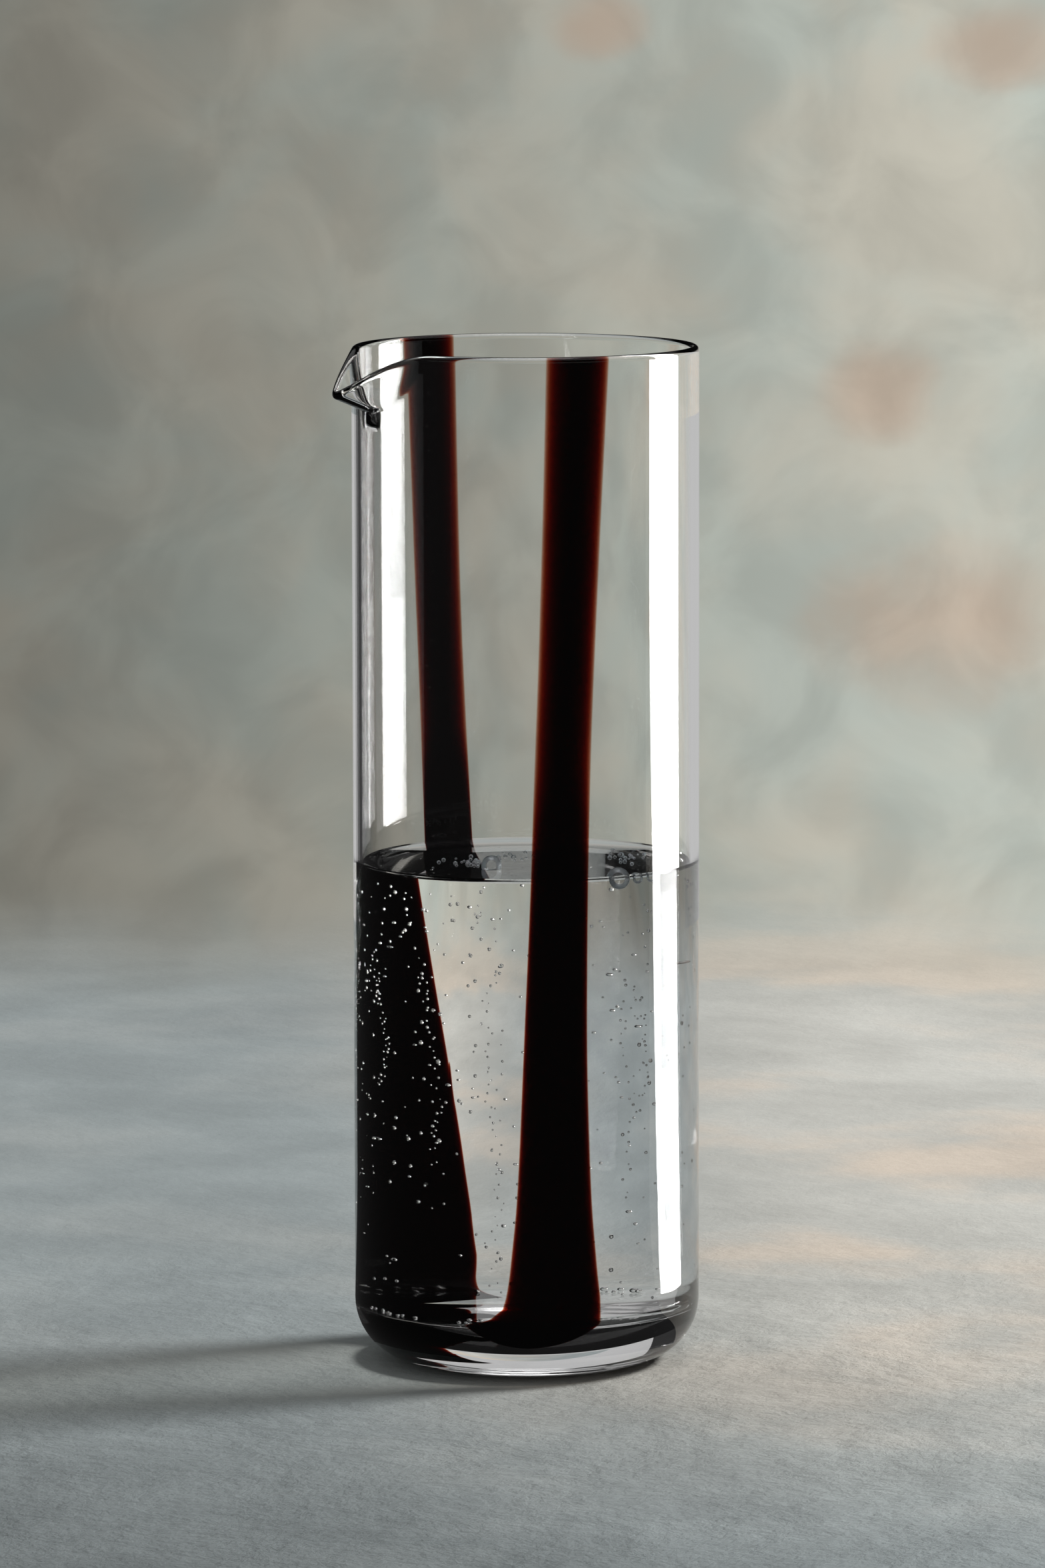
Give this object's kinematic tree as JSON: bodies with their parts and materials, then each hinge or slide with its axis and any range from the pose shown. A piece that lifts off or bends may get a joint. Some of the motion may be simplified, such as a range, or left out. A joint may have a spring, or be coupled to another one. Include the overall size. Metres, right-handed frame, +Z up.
{
  "type": "glass jug",
  "caption": "Tall handleless blown-glass water jug: straight round body, thick base, pulled pouring spout and dark vertical bands cased in the clear wall.",
  "frame": {"origin": "centre of the flat underside that the jug stands on", "axes": "+Z up along the jug's axis, and the spout points along -X"},
  "size_m": [0.1062, 0.095, 0.28],
  "materials": {
    "clear_glass": "clear colourless blown glass, fire-polished, smooth and glossy",
    "band_glass": "dark red-brown glass, almost black where it is thick and red-brown at its thin edges"
  },
  "bodies": {
    "root": {"inner_gather": "clear_glass", "outer_gather": "clear_glass", "front_band": "band_glass", "back_band": "band_glass"}
  },
  "joints": []
}
